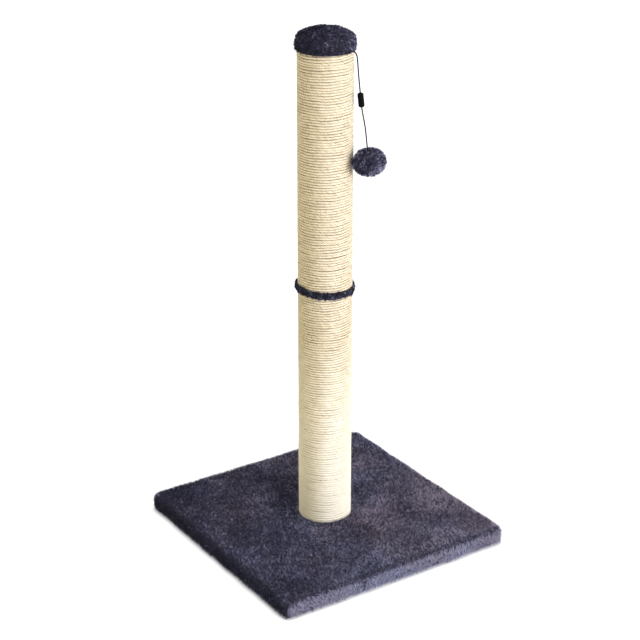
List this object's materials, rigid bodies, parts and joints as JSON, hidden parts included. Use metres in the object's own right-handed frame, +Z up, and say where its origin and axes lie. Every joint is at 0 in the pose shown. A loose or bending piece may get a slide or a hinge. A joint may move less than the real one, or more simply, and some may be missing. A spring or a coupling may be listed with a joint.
{
  "type": "cat scratching post",
  "caption": "Free-standing cat scratching post: square plush-covered base, rope-wound post in two screwed lengths, plush cap, and a plush ball on an elastic cord with a snap connector.",
  "frame": {"origin": "centre of the base's underside, on the surface that the post stands on", "axes": "+Z up the post; X and Y along the sides of the base"},
  "size_m": [0.4, 0.4, 0.8134],
  "materials": {
    "plush": "matte",
    "plush_trim": "matte",
    "ball_plush": "matte",
    "sisal": "matte",
    "chipboard": "matte",
    "cardboard": "matte",
    "moulded_plastic": "matte",
    "zinc_steel": "satin",
    "staple_wire": "satin",
    "foam": "matte",
    "fibre_fill": "matte",
    "elastic_cord": "matte",
    "connector_plastic": "satin"
  },
  "bodies": {
    "root": {"base_board": "chipboard", "base_plush": "plush", "base_staples": "staple_wire", "base_bolt": "zinc_steel", "base_washer": "zinc_steel", "lower_tube": "cardboard", "lower_bottom_plug": "moulded_plastic", "lower_top_plug": "moulded_plastic", "lower_rope": "sisal", "joining_stud": "zinc_steel", "upper_tube": "cardboard", "upper_bottom_plug": "moulded_plastic", "upper_top_plug": "moulded_plastic", "upper_rope": "sisal", "plug_nuts": "zinc_steel", "tube_staples": "staple_wire", "seam_ring": "plush_trim", "cap_board": "chipboard", "cap_bolt": "zinc_steel", "cap_foam": "foam", "cap_plush": "plush", "cap_staples": "staple_wire", "cord_staple": "staple_wire", "toy_cord_tail": "elastic_cord"},
    "cord_lead": {"toy_cord_lead": "elastic_cord"},
    "cord_above_connector": {"toy_cord_upper": "elastic_cord", "connector_socket": "connector_plastic"},
    "cord_below_connector": {"connector_plug": "connector_plastic", "toy_cord_lower": "elastic_cord"},
    "cord_end": {"toy_cord_knot": "elastic_cord"},
    "ball": {"ball_stuffing": "fibre_fill", "ball_cover": "ball_plush"}
  },
  "joints": [
    {"name": "toy_swing_out", "type": "hinge", "parent": "root", "child": "cord_lead", "pos_m": [0.02787, -0.03405, 0.7794], "axis": [-0.7738, -0.6334, 0], "range_deg": [0, 75]},
    {"name": "toy_swing_side", "type": "hinge", "parent": "cord_lead", "child": "cord_above_connector", "pos_m": [0.03002, -0.03668, 0.7728], "axis": [0.6334, -0.7738, 0], "range_deg": [-70, 70]},
    {"name": "connector_pull", "type": "slide", "parent": "cord_above_connector", "child": "cord_below_connector", "axis": [0.0695, -0.0849, -0.994], "range_m": [0, 0.006]},
    {"name": "toy_stretch", "type": "slide", "parent": "cord_below_connector", "child": "cord_end", "axis": [0, 0, -1], "range_m": [0, 0.04], "stiffness_N_per_m": 25, "springref_m": -0.012, "deforming": ["toy_cord_lower"]},
    {"name": "ball_twist", "type": "hinge", "parent": "cord_end", "child": "ball", "pos_m": [0.04257, -0.05201, 0.6173], "axis": [-0.1024, 0.1251, 0.9869], "range_deg": [-180, 180]}
  ]
}
